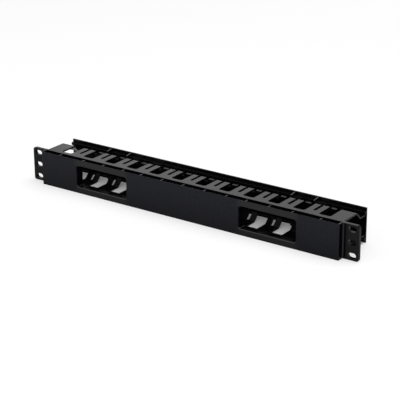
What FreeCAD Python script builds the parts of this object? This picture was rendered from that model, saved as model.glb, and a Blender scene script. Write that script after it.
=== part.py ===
import FreeCAD, Part
import math
import os
from FreeCAD import Vector

# One-unit horizontal cable manager in millimetres: a moulded ABS duct that screws to a
# 19 inch rack by its ears, and a moulded cover that clips over the finger tips.
# Origin: middle of the rack slots, on the rear face of the ears. X runs along the panel,
# Y points into the rack, Z is up. The outline is the same above and below Z = 0.

# Rack panel
SLOT_SPAN = 465.1          # between the two columns of slots
SLOT_EDGE = 8.75           # from a column of slots to the panel's end: 482.6 mm over all
UNIT_H = 44.45             # one rack unit
UNIT_GAP = 0.79            # ears, combs and cover are this much less than a unit in height
SLOT_PITCH = 15.875        # from one slot to the next in a column
SLOT_L = 10.5
SLOT_H = 6.5
EAR_T = 4.0
PLATE_T = 2.5              # the plate between the ears is thinned behind the raised front
EAR_R = 3.0

# Raised front
EAR_W = 21.3               # ear left bare at each end of the raised front
FRONT_OUT = 8.2            # the front face stands this far ahead of the ears
FRONT_T = 1.6
FRONT_LAND = 0.3           # top and bottom edges: flat this wide, then cut back at 45 degrees
FRONT_R = 0.8              # upright outer edges
STEP_R = 2.2               # hollow corner between the raised front and each ear

# Cable windows through the front and the plate
WINDOW_X = 123.3           # middle of each window
WINDOW_W = 79.5
WINDOW_H = 28.5
WINDOW_R = 1.2             # corners
WINDOW_EDGE = 0.7          # bevel round the rim, where cables rub
COLLAR_T = 1.8             # sleeve that joins the two walls round a window

# Ribs in the groove between the front wall and the plate
RIB_T = 1.3
RIB_DROP = 0.8             # rib ends stop this far short of the ears' top and bottom
RIB_PITCH = 31.75
END_RIB_X = 193.0

# Finger duct
DUCT_INSET = 1.0           # the duct's ends stand this far inside the raised front's
SHELL_T = 2.0
ROOT_R = 2.5               # inside corner between the plate and each comb
FLAT_END = 29.9            # the fingers bend in here, at 45 degrees
BEND_R = 3.0               # on the hollow side of each bend
STEP_IN = 8.23             # the finger tips run this far inside the flat of the comb
LIP_Y = 48.4
LIP_T = 1.25
LIP_H = 2.6
PAIRS = 11
PAIR_PITCH = 34.8
PRONG_W = 7.5
SLIT_W = 4.0
GAP_START = 3.2            # closed end of the wide gaps
TOP_SLIT_START = 9.5       # closed end of the slits above
LOW_SLIT_START = 29.0      # the slits below part only the bent finger ends
GAP_R = 3.0
TIP_CUT = 1.6              # corners cut off the tips beside the gaps
SLIT_FLARE = 0.4           # and beside the slits

# Snap cover
SNAP_GAP = 0.35            # clearance all round between cover and finger lips
COVER_OVER = 1.0           # the cover's ends reach this far past the duct's
COVER_T = 2.5
COVER_R = 1.0
ARM_T = 1.3
HOOK_T = 1.3
GUSSET_T = 1.5
GUSSET_DROP = 0.5          # the gussets meet the wall this far below its edge
GUSSET_NOSE = 5.8          # they reach this far ahead of the hooks
GUSSET_H = 2.78            # height of their noses
GUSSET_R = 1.2

PANEL_H = UNIT_H - UNIT_GAP
HALF_H = PANEL_H / 2
PANEL_W = SLOT_SPAN + 2 * SLOT_EDGE
FRONT_W = PANEL_W - 2 * EAR_W
DUCT_W = FRONT_W - 2 * DUCT_INSET
COVER_W = DUCT_W + 2 * COVER_OVER
PLATE_Y = -PLATE_T
EAR_Y = -EAR_T
FRONT_Y = EAR_Y - FRONT_OUT
RUN_Z = HALF_H - STEP_IN   # outer face of the finger tips
LIP_Z = RUN_Z + LIP_H
TIP_Y = LIP_Y + LIP_T
COVER_IN = TIP_Y + SNAP_GAP
ARM_Z = LIP_Z + SNAP_GAP   # the arms' inner face
HOOK_Y = LIP_Y - SNAP_GAP - HOOK_T


def polygon_face(points):
    return Part.Face(Part.makePolygon([Vector(*p) for p in points + points[:1]]))


def section(points, width):
    # A closed Y, Z outline drawn out along X, centred on X = 0.
    return polygon_face([(-width / 2, y, z) for y, z in points]).extrude(Vector(width, 0, 0))


def edges_where(shape, test):
    return [e for e in shape.Edges if test(e)]


def ends(edge):
    return [v.Point for v in edge.Vertexes]


def along(edge, axis):
    d = ends(edge)[-1] - ends(edge)[0]
    return d.Length > 1e-6 and abs(abs(d.dot(axis)) - d.Length) < 1e-6


def rounded_block(cx, cz, w, h, r, y0, y1):
    # A block through Y whose four long corners are rounded.
    block = Part.makeBox(w, y1 - y0, h, Vector(cx - w / 2, y0, cz - h / 2))
    return block.makeFillet(r, edges_where(block, lambda e: along(e, Vector(0, 1, 0))))


def mirror_z(shape):
    return shape.mirror(Vector(0, 0, 0), Vector(0, 0, 1))


def slot_cutters():
    cutters = []
    for x in (-SLOT_SPAN / 2, SLOT_SPAN / 2):
        for row in (-1, 0, 1):
            cutters.append(rounded_block(x, row * SLOT_PITCH, SLOT_L, SLOT_H,
                                         SLOT_H / 2 - 0.001, EAR_Y - 1, 1))
    return cutters


def rack_plate():
    # Ears and the wall between them in one plate, its rear face flat from end to end.
    plate = rounded_block(0, 0, PANEL_W, PANEL_H, EAR_R, EAR_Y, 0)
    thin_w = FRONT_W - 2 * FRONT_T
    thinned = Part.makeBox(thin_w, EAR_T, PANEL_H, Vector(-thin_w / 2, PLATE_Y - EAR_T, -HALF_H))
    return plate.cut([thinned] + slot_cutters())


def front_pan():
    # Front wall with a return at each end that steps back to the ears. The top and the bottom
    # stay open, and the wall's edges slope into the groove there.
    top = UNIT_H / 2
    inner, slope = FRONT_Y + FRONT_T, FRONT_T - FRONT_LAND
    wall = section([(FRONT_Y, -top), (FRONT_Y, top), (FRONT_Y + FRONT_LAND, top), (inner, top - slope),
                    (inner, slope - top), (FRONT_Y + FRONT_LAND, -top)], FRONT_W)
    returns = [Part.makeBox(FRONT_T, FRONT_OUT + 0.3, UNIT_H, Vector(x, FRONT_Y, -top))
               for x in (-FRONT_W / 2, FRONT_W / 2 - FRONT_T)]
    pan = wall.fuse(returns).removeSplitter()
    return pan.makeFillet(FRONT_R, edges_where(pan, lambda e: along(e, Vector(0, 0, 1))
                                               and ends(e)[0].y < FRONT_Y + 0.01))


def step_fillet(side):
    # Hollow quarter-round strip in the corner between the raised front and an ear.
    x = side * FRONT_W / 2
    block = Part.makeBox(STEP_R + 0.3, STEP_R + 0.3, PANEL_H,
                         Vector(x - (0.3 if side > 0 else STEP_R), EAR_Y - STEP_R, -HALF_H))
    round_off = Part.makeCylinder(STEP_R, PANEL_H, Vector(x + side * STEP_R, EAR_Y - STEP_R, -HALF_H))
    return block.cut(round_off)


def groove_ribs():
    window_ribs = [WINDOW_X + k * RIB_PITCH for k in (-1, 0, 1)]
    side = [RIB_PITCH, 2 * RIB_PITCH] + window_ribs + [END_RIB_X]
    h = PANEL_H - 2 * RIB_DROP
    y0 = FRONT_Y + FRONT_T / 2
    return [Part.makeBox(RIB_T, PLATE_Y - y0 + 0.5, h, Vector(x - RIB_T / 2, y0, -h / 2))
            for x in [0] + side + [-s for s in side]]


def window_collars():
    grow = 2 * COLLAR_T
    return [rounded_block(x, 0, WINDOW_W + grow, WINDOW_H + grow, WINDOW_R + COLLAR_T,
                          FRONT_Y + FRONT_T / 2, PLATE_Y + 0.5) for x in (-WINDOW_X, WINDOW_X)]


def window_cutters():
    return [rounded_block(x, 0, WINDOW_W, WINDOW_H, WINDOW_R, FRONT_Y - 1, 1)
            for x in (-WINDOW_X, WINDOW_X)]


def comb_sheet():
    # One comb before its gaps are cut: flat over the cables, bent in at 45 degrees, then
    # level again, with a lip that stands up for the cover to hook.
    drop = HALF_H - RUN_Z
    bend = SHELL_T * math.tan(math.radians(22.5))
    outer = [(FLAT_END, HALF_H), (FLAT_END + drop, RUN_Z)]
    inner = [(FLAT_END + drop - bend, RUN_Z - SHELL_T), (FLAT_END - bend, HALF_H - SHELL_T)]
    outline = ([(PLATE_Y + 0.5, HALF_H)] + outer + [(LIP_Y, RUN_Z), (LIP_Y, LIP_Z), (TIP_Y, LIP_Z),
               (TIP_Y, RUN_Z - SHELL_T)] + inner + [(PLATE_Y + 0.5, HALF_H - SHELL_T)])
    sheet = section(outline, DUCT_W)
    for corner, r in ((outer[0], BEND_R + SHELL_T), (outer[1], BEND_R), (inner[1], BEND_R)):
        at = edges_where(sheet, lambda e: along(e, Vector(1, 0, 0))
                         and math.dist(corner, (ends(e)[0].y, ends(e)[0].z)) < 0.01)
        sheet = sheet.makeFillet(r, at)
    return sheet


def root_fillet():
    # Quarter-round strip that thickens the corner between the plate and a comb.
    z = HALF_H - SHELL_T
    block = Part.makeBox(DUCT_W, ROOT_R + 0.3, ROOT_R + 0.3, Vector(-DUCT_W / 2, -0.3, z - ROOT_R))
    round_off = Part.makeCylinder(ROOT_R, DUCT_W + 2, Vector(-DUCT_W / 2 - 1, ROOT_R, z - ROOT_R),
                                  Vector(1, 0, 0))
    return block.cut(round_off)


def mouth_cutter(x, width, start, r, flare):
    # Opening between prongs: rounded at its closed end, flared where cables are pushed in.
    w = width / 2
    half = [(w, start), (w, TIP_Y - flare), (w + flare, TIP_Y), (w + flare, TIP_Y + 2)]
    outline = [(x + dx, y, -HALF_H - 1) for dx, y in half]
    outline += [(x - dx, y, -HALF_H - 1) for dx, y in reversed(half)]
    body = polygon_face(outline).extrude(Vector(0, 0, PANEL_H + 2))
    closed = edges_where(body, lambda e: along(e, Vector(0, 0, 1)) and ends(e)[0].y < start + 0.01)
    return body.makeFillet(r, closed)


def comb(slit_start):
    reach = (PAIRS - 1) / 2
    gap_w = PAIR_PITCH - 2 * PRONG_W - SLIT_W
    slits = [mouth_cutter((k - reach) * PAIR_PITCH, SLIT_W, slit_start, SLIT_W / 2 - 0.001, SLIT_FLARE)
             for k in range(PAIRS)]
    gaps = [mouth_cutter((k - reach - 0.5) * PAIR_PITCH, gap_w, GAP_START, GAP_R, TIP_CUT)
            for k in range(PAIRS + 1)]
    return comb_sheet().fuse(root_fillet()).cut(slits + gaps)


def duct_body():
    combs = [comb(TOP_SLIT_START), mirror_z(comb(LOW_SLIT_START))]
    front = [front_pan(), step_fillet(-1), step_fillet(1)] + groove_ribs() + window_collars()
    body = rack_plate().fuse(front + combs)
    body = body.cut(window_cutters()).removeSplitter()
    reach = WINDOW_W / 2 + 0.1
    return body.makeChamfer(WINDOW_EDGE, edges_where(body, lambda e: all(
        p.y < FRONT_Y + 0.01 and abs(abs(p.x) - WINDOW_X) < reach for p in ends(e))))


def cover_wall():
    wall = Part.makeBox(COVER_W, COVER_T, PANEL_H, Vector(-COVER_W / 2, COVER_IN, -HALF_H))
    back = COVER_IN + COVER_T - 0.01
    return wall.makeFillet(COVER_R, edges_where(wall, lambda e: all(v.y > back for v in ends(e))))


def clip_arm():
    # Arm that reaches over the finger lips, with a hook that drops in front of them.
    top = ARM_Z + ARM_T
    hook_far = HOOK_Y + HOOK_T
    tip = RUN_Z + SNAP_GAP
    outline = [(COVER_IN + 0.5, top), (HOOK_Y + 0.5, top), (HOOK_Y, top - 0.5), (HOOK_Y, tip + 0.5),
               (hook_far - 0.4, tip), (hook_far, tip), (hook_far, ARM_Z), (COVER_IN + 0.5, ARM_Z)]
    return section(outline, COVER_W)


def arm_gusset(x):
    # Round-nosed plate that stiffens an arm and leads the cover on over the fingers.
    nose = HOOK_Y - GUSSET_NOSE
    top = HALF_H - GUSSET_DROP
    low = ARM_Z + 0.5
    outline = [(COVER_IN + 0.5, top), (nose, low + GUSSET_H), (nose, low), (COVER_IN + 0.5, low)]
    plate = section(outline, GUSSET_T)
    plate = plate.makeFillet(GUSSET_R, edges_where(plate, lambda e: along(e, Vector(1, 0, 0))
                                                   and ends(e)[0].y < nose + 0.01))
    plate.translate(Vector(x, 0, 0))
    return plate


def snap_cover():
    stations = [WINDOW_X, WINDOW_X + RIB_PITCH]
    arm = clip_arm().fuse([arm_gusset(s * x) for x in stations for s in (-1, 1)])
    return cover_wall().fuse([arm, mirror_z(arm)]).removeSplitter()


os.makedirs("parts", exist_ok=True)
for name, shape in (("duct_body", duct_body()), ("snap_cover", snap_cover())):
    shape.Solids[0].exportStep("parts/" + name + ".step")
    print(name, "solids", len(shape.Solids), "valid", shape.isValid(),
          "volume cm3", round(shape.Volume / 1000, 1), shape.BoundBox)
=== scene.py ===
import bpy, bmesh, math
from mathutils import Matrix, Vector


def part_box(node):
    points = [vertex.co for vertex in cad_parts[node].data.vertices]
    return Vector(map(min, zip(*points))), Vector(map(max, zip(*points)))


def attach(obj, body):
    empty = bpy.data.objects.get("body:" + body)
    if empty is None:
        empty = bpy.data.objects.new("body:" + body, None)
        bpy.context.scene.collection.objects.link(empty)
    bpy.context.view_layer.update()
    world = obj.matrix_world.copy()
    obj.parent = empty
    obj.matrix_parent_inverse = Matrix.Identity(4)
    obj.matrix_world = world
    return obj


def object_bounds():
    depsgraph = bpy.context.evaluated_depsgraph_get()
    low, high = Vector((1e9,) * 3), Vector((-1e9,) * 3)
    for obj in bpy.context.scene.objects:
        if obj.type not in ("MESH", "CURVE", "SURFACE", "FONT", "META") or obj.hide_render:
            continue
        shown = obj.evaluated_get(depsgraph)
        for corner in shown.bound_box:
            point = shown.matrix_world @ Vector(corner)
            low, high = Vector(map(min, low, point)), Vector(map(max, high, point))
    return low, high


# Lengths are in metres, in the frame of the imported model.
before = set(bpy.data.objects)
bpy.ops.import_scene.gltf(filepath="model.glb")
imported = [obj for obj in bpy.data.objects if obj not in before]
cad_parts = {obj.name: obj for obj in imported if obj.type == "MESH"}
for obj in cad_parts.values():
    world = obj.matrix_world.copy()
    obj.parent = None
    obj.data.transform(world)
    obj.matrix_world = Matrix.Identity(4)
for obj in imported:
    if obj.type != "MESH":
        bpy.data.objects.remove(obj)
cad_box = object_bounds()


# ---- Duct body ----
# The one-piece duct that screws to the rack: ears, raised front with two cable windows, and a
# comb of fingers above and below. Injection-moulded black ABS, with a fine spark-eroded grain on
# the front face and a smoother, polished-tool finish on the combs and inside.

# A new node with its settings, and each input linked to a socket or set to a value.
def wired(tree, kind, *inputs, **settings):
    node = tree.nodes.new(kind)
    for name, value in settings.items():
        setattr(node, name, value)
    for socket, value in inputs:
        if isinstance(value, bpy.types.NodeSocket):
            tree.links.new(value, node.inputs[socket])
        else:
            node.inputs[socket].default_value = value
    return node


def feed(output, socket):
    output.id_data.links.new(output, socket)


# A share that rises from 0 at low to 1 at high, with soft ends, or falls where low is the larger.
def ramp(value, low, high):
    return wired(value.id_data, "ShaderNodeMapRange", ("Value", value), ("From Min", low),
                 ("From Max", high), interpolation_type="SMOOTHSTEP").outputs[0]


# A straight scale: at_start where the value is start, at_end where it is end.
def scaled(value, at_start, at_end, start=0.0, end=1.0):
    return wired(value.id_data, "ShaderNodeMapRange", ("Value", value), ("From Min", start),
                 ("From Max", end), ("To Min", at_start), ("To Max", at_end)).outputs[0]


def product(*factors):
    so_far = factors[0]
    for factor in factors[1:]:
        so_far = wired(so_far.id_data, "ShaderNodeMath", (0, so_far), (1, factor),
                       operation="MULTIPLY").outputs[0]
    return so_far


def between(value, low, high, fade):
    return product(ramp(value, low - fade / 2, low + fade / 2),
                   ramp(value, high + fade / 2, high - fade / 2))


def distance(value, mark=0.0):
    shifted = wired(value.id_data, "ShaderNodeMath", (0, value), (1, mark), operation="SUBTRACT")
    return wired(value.id_data, "ShaderNodeMath", (0, shifted.outputs[0]), operation="ABSOLUTE").outputs[0]


# Sockets 6 and 7 are the Mix node's two colours, and output 2 is its colour.
def blended(share, plain, other):
    return wired(share.id_data, "ShaderNodeMix", (0, share), (6, plain), (7, other),
                 data_type="RGBA").outputs[2]


def varied(shade, pattern, low, high):
    return blended(pattern, (*(low * c for c in shade), 1), (*(high * c for c in shade), 1))


def noise(place, per_metre, detail):
    return wired(place.id_data, "ShaderNodeTexNoise", ("Vector", place), ("Scale", per_metre),
                 ("Detail", detail)).outputs[0]


# Black ABS as it leaves the tool. Its grained skin is full just behind the outer face and ends a
# little deeper, where the polished plastic begins. Inward is 1 or -1, the way in from that face.
def moulded_abs(name, shine, polished, grained, face_y, inward):
    skin_full, skin_ends = 0.0004, 0.0012
    polished_rough, grained_rough = 0.2, 0.42
    edge_r = 0.00025
    grain_strength, grain_depth = 0.25, 0.00005

    plastic = bpy.data.materials.new(name)
    plastic.use_nodes = True
    tree = plastic.node_tree
    shader = tree.nodes["Principled BSDF"]
    shader.inputs["Specular IOR Level"].default_value = shine
    place = wired(tree, "ShaderNodeTexCoord").outputs["Object"]
    across, into, height = wired(tree, "ShaderNodeSeparateXYZ", (0, place)).outputs
    facing = wired(tree, "ShaderNodeNewGeometry").outputs["True Normal"]
    upward = wired(tree, "ShaderNodeSeparateXYZ", (0, facing)).outputs["Z"]

    skin = ramp(into, face_y + inward * skin_ends, face_y + inward * skin_full)
    clouds = noise(place, per_metre=38, detail=3)
    speckle = ramp(noise(place, per_metre=420, detail=3), 0.3, 0.7)
    grain = noise(place, per_metre=2400, detail=2)
    inside = varied(polished, clouds, 0.7, 1.3)
    outside = varied(grained, speckle, 0.8, 1.2)
    feed(scaled(skin, polished_rough, grained_rough), shader.inputs["Roughness"])

    soft_edge = wired(tree, "ShaderNodeBevel", ("Radius", edge_r), samples=4).outputs[0]
    bump = wired(tree, "ShaderNodeBump", ("Height", grain), ("Strength", grain_strength),
                 ("Distance", grain_depth), ("Normal", soft_edge)).outputs[0]
    feed(bump, shader.inputs["Normal"])
    return plastic, skin, inside, outside, (across, into, height, upward)


def dress(node, plastic, colour):
    feed(colour, plastic.node_tree.nodes["Principled BSDF"].inputs["Base Color"])
    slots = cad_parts[node].data.materials
    slots.clear()
    slots.append(plastic)


duct_low, duct_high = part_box("duct_body")
front_y = duct_low.y
duct_abs, skin, inside, outside, (across, into, height, upward) = moulded_abs(
    "duct_abs", shine=0.07, polished=(0.0012, 0.0012, 0.0015), grained=(0.0122, 0.0127, 0.0165),
    face_y=front_y, inward=1)
off_middle = distance(across)

# The grain is paler in the strips above and below each window, which fade out past its ends.
window_x, window_w, window_h = 0.1233, 0.0795, 0.0285
strip_tone = (0.0225, 0.0225, 0.0235, 1)
strip_x_ends, strip_x_full = window_w / 2 + 0.006, window_w / 2 - 0.004
strip_z_starts, strip_z_full = window_h / 2 - 0.002, window_h / 2 + 0.001
strip = product(ramp(distance(off_middle, window_x), strip_x_ends, strip_x_full),
                ramp(distance(height), strip_z_starts, strip_z_full))
outside = blended(strip, outside, strip_tone)

# Painted shade: the front darkens evenly from near its upper edge to its lower one, as light from above
# falls off down it.
half_height = 0.022
low_share, high_share = 0.45, 1.1
painted_shade_share = scaled(height, low_share, high_share, -half_height, half_height)
outside = blended(painted_shade_share, (0, 0, 0, 1), outside)

# The lower rim of each window, where cables lie, carries a painted highlight where it faces up, below the
# middle: the light from above caught on its bevel.
sill_highlight_tone = (0.052, 0.052, 0.056, 1)
looks_up = ramp(upward, 0.25, 0.6)
lower_half = ramp(height, 0.001, -0.001)
outside = blended(product(looks_up, lower_half), outside, sill_highlight_tone)

# The ends of the level finger tips, but not the solid blocks at the ends of the comb, carry a painted
# sheen: they are coloured paler, as the cover keeps the sheen box's light off them.
tip_sheen_tone = (0.09, 0.09, 0.095, 1)
tip_z = 0.0136
tip_front, tip_back = 0.0437, 0.0473
first_tip, last_tip = -0.1735, 0.1895
level = ramp(distance(upward), 0.8, 0.95)
at_tip_z = ramp(distance(distance(height), tip_z), 0.0006, 0.0003)
tip_sheen = product(level, at_tip_z, between(into, tip_front, tip_back, fade=0.001),
               between(across, first_tip, last_tip, fade=0.001))
inside = blended(tip_sheen, inside, tip_sheen_tone)

# Beside the raised front each ear has a hollow corner that carries a painted highlight: it is coloured
# paler than the flat face that follows it, as the curve catches the light.
ear_w, ear_front = 0.0213, -0.004
ear_x = duct_high.x - ear_w
hollow_starts, hollow_full = ear_x + 0.0001, ear_x + 0.0005
hollow_fades, hollow_ends = ear_x + 0.0014, ear_x + 0.0019
flat_starts, flat_full = ear_x + 0.0036, ear_x + 0.0043
hollow_highlight_tone = (0.020, 0.020, 0.021, 1)
ear_tone = (0.007, 0.007, 0.0075, 1)
on_ear = ramp(into, ear_front + 0.001, ear_front + 0.0002)
hollow_highlight = product(on_ear, ramp(off_middle, hollow_starts, hollow_full),
                 ramp(off_middle, hollow_ends, hollow_fades))
inside = blended(hollow_highlight, inside, hollow_highlight_tone)
ears = product(on_ear, ramp(off_middle, flat_starts, flat_full))
inside = blended(ears, inside, ear_tone)

dress("duct_body", duct_abs, blended(skin, inside, outside))

# ---- Window corners ----
# Each cable window is cut with generous round corners, so that no lead is pinched in them. They
# are the duct's own plastic, bevelled at the rim like the straight sides, and run the whole way
# through to the back of the plate.
corner_r = 0.0032
rim_bevel = 0.0007
sunk = 1.2 * rim_bevel           # how far they run into the window's walls
hair = 0.00001                   # keeps their ends out of the plane of the duct's own faces
steps = 10                       # flats round each quarter turn
deep = corner_r + sunk
layers = ((front_y + hair, corner_r + rim_bevel), (front_y + rim_bevel, corner_r), (-hair, corner_r))
turns = [math.pi / 2 * k / steps for k in range(steps + 1)]
ring = len(turns) + 3
points, faces = [], []
for middle in (-window_x, window_x):
    for side, rise in ((-1, -1), (1, -1), (1, 1), (-1, 1)):
        hub_x = middle + side * (window_w / 2 - corner_r)
        hub_z = rise * (window_h / 2 - corner_r)
        wall_x, wall_z = hub_x + side * deep, hub_z + rise * deep
        first = len(points)
        for y, r in layers:
            points += [(wall_x, y, wall_z), (hub_x, y, wall_z)]
            points += [(hub_x + side * r * math.sin(t), y, hub_z + rise * r * math.cos(t)) for t in turns]
            points.append((wall_x, y, hub_z))
        middle_ring, last_ring = first + ring, first + 2 * ring
        for low in (first, middle_ring):
            faces += [(low + k, low + (k + 1) % ring, low + ring + (k + 1) % ring, low + ring + k)
                      for k in range(ring)]
        for low in (first, last_ring):
            faces += [(low, low + k, low + k + 1) for k in range(1, ring - 1)]
mesh = bpy.data.meshes.new("window_corners")
mesh.from_pydata(points, [], faces)
body = bmesh.new()
body.from_mesh(mesh)
bmesh.ops.recalc_face_normals(body, faces=body.faces)
body.to_mesh(mesh)
body.free()
corners = bpy.data.objects.new("window_corners", mesh)
bpy.context.scene.collection.objects.link(corners)
mesh.materials.append(duct_abs)
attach(corners, "duct")

# ---- Snap cover ----
# The long lid behind the fingers: a flat wall with two hooked arms that clip over the finger lips.
# A second ABS moulding, from a tool of its own, so the grain of its outer wall is a deeper black.
back_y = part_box("snap_cover")[1].y
cover_abs, skin, inside, outside, (_, into, height, upward) = moulded_abs(
    "cover_abs", shine=0.05, polished=(0.0015, 0.0015, 0.0017), grained=(0.004, 0.004, 0.0075),
    face_y=back_y, inward=-1)

# The narrow outer edges of the gussets, ahead of the wall, carry a painted sheen: they are coloured paler,
# as level faces that catch the light are.
gusset_sheen_tone = (0.07, 0.07, 0.075, 1)
wall_t = 0.0025
wall_y = back_y - wall_t
up_or_down = ramp(distance(upward), 0.5, 0.8)
outermost = ramp(distance(height), 0.0190, 0.0194)
ahead = ramp(into, wall_y, wall_y - 0.0002)
inside = blended(product(up_or_down, outermost, ahead), inside, gusset_sheen_tone)
dress("snap_cover", cover_abs, blended(skin, inside, outside))

# ---- Studio ----
# A pale paper floor that runs out into a white room. Five soft boxes light the part: two in front
# and above, a wide one overhead, a low one at the right for the ends, and one low behind that puts
# the sheen on the level faces of the comb.

# 1 for what the eye sees, straight or in a reflection, and 0 for the light that falls on the part.
def to_the_eye(tree):
    path = wired(tree, "ShaderNodeLightPath").outputs
    seen = path["Is Camera Ray"]
    for kind in ("Is Glossy Ray", "Is Transmission Ray"):
        seen = wired(tree, "ShaderNodeMath", (0, seen), (1, path[kind]), operation="MAXIMUM").outputs[0]
    return seen


# The paper glows only to the eye: least under the part, where it stands on it and the weaker glow is a
# painted shadow, and most far off.
reach = 5.0
paper_white = (0.48, 0.48, 0.48, 1)
glow_under, glow_near, glow_far = 0.13, 0.5, 0.75
near_ends, far_begins = 0.8, 3.5
shade_x, shade_front, shade_back = 0.218, -0.008, 0.051
mesh = bpy.data.meshes.new("paper_floor")
mesh.from_pydata([(-reach, -reach, 0), (reach, -reach, 0), (reach, reach, 0), (-reach, reach, 0)], [],
                 [(0, 1, 2, 3)])
floor = bpy.data.objects.new("paper_floor", mesh)
bpy.context.scene.collection.objects.link(floor)
floor.location.z = cad_box[0][2]
paper = bpy.data.materials.new("pale_paper")
paper.use_nodes = True
tree = paper.node_tree
tree.nodes.remove(tree.nodes["Principled BSDF"])
matt = wired(tree, "ShaderNodeBsdfDiffuse", ("Color", paper_white))
place = wired(tree, "ShaderNodeTexCoord").outputs["Object"]
across, into, _ = wired(tree, "ShaderNodeSeparateXYZ", (0, place)).outputs
off_x, off_y = distance(across), distance(into)
farther = wired(tree, "ShaderNodeMath", (0, off_x), (1, off_y), operation="MAXIMUM").outputs[0]
open_floor = scaled(ramp(farther, near_ends, far_begins), glow_near, glow_far)
painted_shadow_under = product(between(across, -shade_x, shade_x, fade=0.004),
                between(into, shade_front, shade_back, fade=0.006))
glow = wired(tree, "ShaderNodeEmission",
             ("Strength", product(scaled(painted_shadow_under, open_floor, glow_under), to_the_eye(tree))))
lit = wired(tree, "ShaderNodeAddShader", (0, matt.outputs[0]), (1, glow.outputs[0]))
feed(lit.outputs[0], tree.nodes["Material Output"].inputs["Surface"])
mesh.materials.append(paper)

# The room is white to the eye, and lights the part at half that.
room_light, room_white = 0.5, 1.0
world = bpy.data.worlds.new("white_room")
bpy.context.scene.world = world
world.use_nodes = True
backdrop = world.node_tree.nodes["Background"]
backdrop.inputs["Color"].default_value = (1, 1, 1, 1)
feed(scaled(to_the_eye(world.node_tree), room_light, room_white), backdrop.inputs["Strength"])


# Each box is turned to the middle of the slots, where the frame has its origin.
def soft_box(name, place, width, depth, watts):
    lamp = bpy.data.lights.new(name, "AREA")
    lamp.shape = "RECTANGLE"
    lamp.size = width
    lamp.size_y = depth
    lamp.energy = watts
    holder = bpy.data.objects.new(name, lamp)
    bpy.context.scene.collection.objects.link(holder)
    holder.location = place
    holder.rotation_euler = (-Vector(place)).to_track_quat("-Z", "Y").to_euler()
    holder.visible_camera = False


soft_box("key_box", place=(-1.9, -2.3, 1.6), width=1.2, depth=1.2, watts=18)
soft_box("brow_box", place=(1.2, -1.7, 1.75), width=1.0, depth=1.0, watts=14)
soft_box("top_box", place=(0.4, 0.5, 2.8), width=2.4, depth=2.4, watts=40)
soft_box("sheen_box", place=(-1.47, 2.31, 1.04), width=1.2, depth=0.9, watts=3)
soft_box("edge_box", place=(1.9, -1.5, 0.7), width=0.8, depth=0.8, watts=10)

# ---- Camera ----
# A long lens that stands above the front and to the right of its middle, and is rolled by less
# than half a degree. It is aimed at the lower edge of the plate, then set aside and up a little.
around, above, roll = math.radians(35.51), math.radians(21.17), math.radians(-0.42)
stand_off, aside, lift = 1.7610, 0.0177, 0.0206
aim = Vector((0, -0.0025, -0.02183))
back = Vector((math.sin(around) * math.cos(above), -math.cos(around) * math.cos(above), math.sin(above)))
level_right = Vector((math.cos(around), math.sin(around), 0))
level_up = back.cross(level_right)
right = level_right * math.cos(roll) + level_up * math.sin(roll)
up = level_up * math.cos(roll) - level_right * math.sin(roll)
lens = bpy.data.cameras.new("front_camera")
lens.sensor_width = 36
lens.lens = 130.3
lens.clip_end = 20
camera = bpy.data.objects.new("front_camera", lens)
bpy.context.scene.collection.objects.link(camera)
camera.matrix_world = Matrix((right, up, back)).transposed().to_4x4()
camera.location = back * stand_off + right * aside + up * lift + aim
bpy.context.scene.camera = camera
bpy.context.scene.view_settings.view_transform = "Standard"
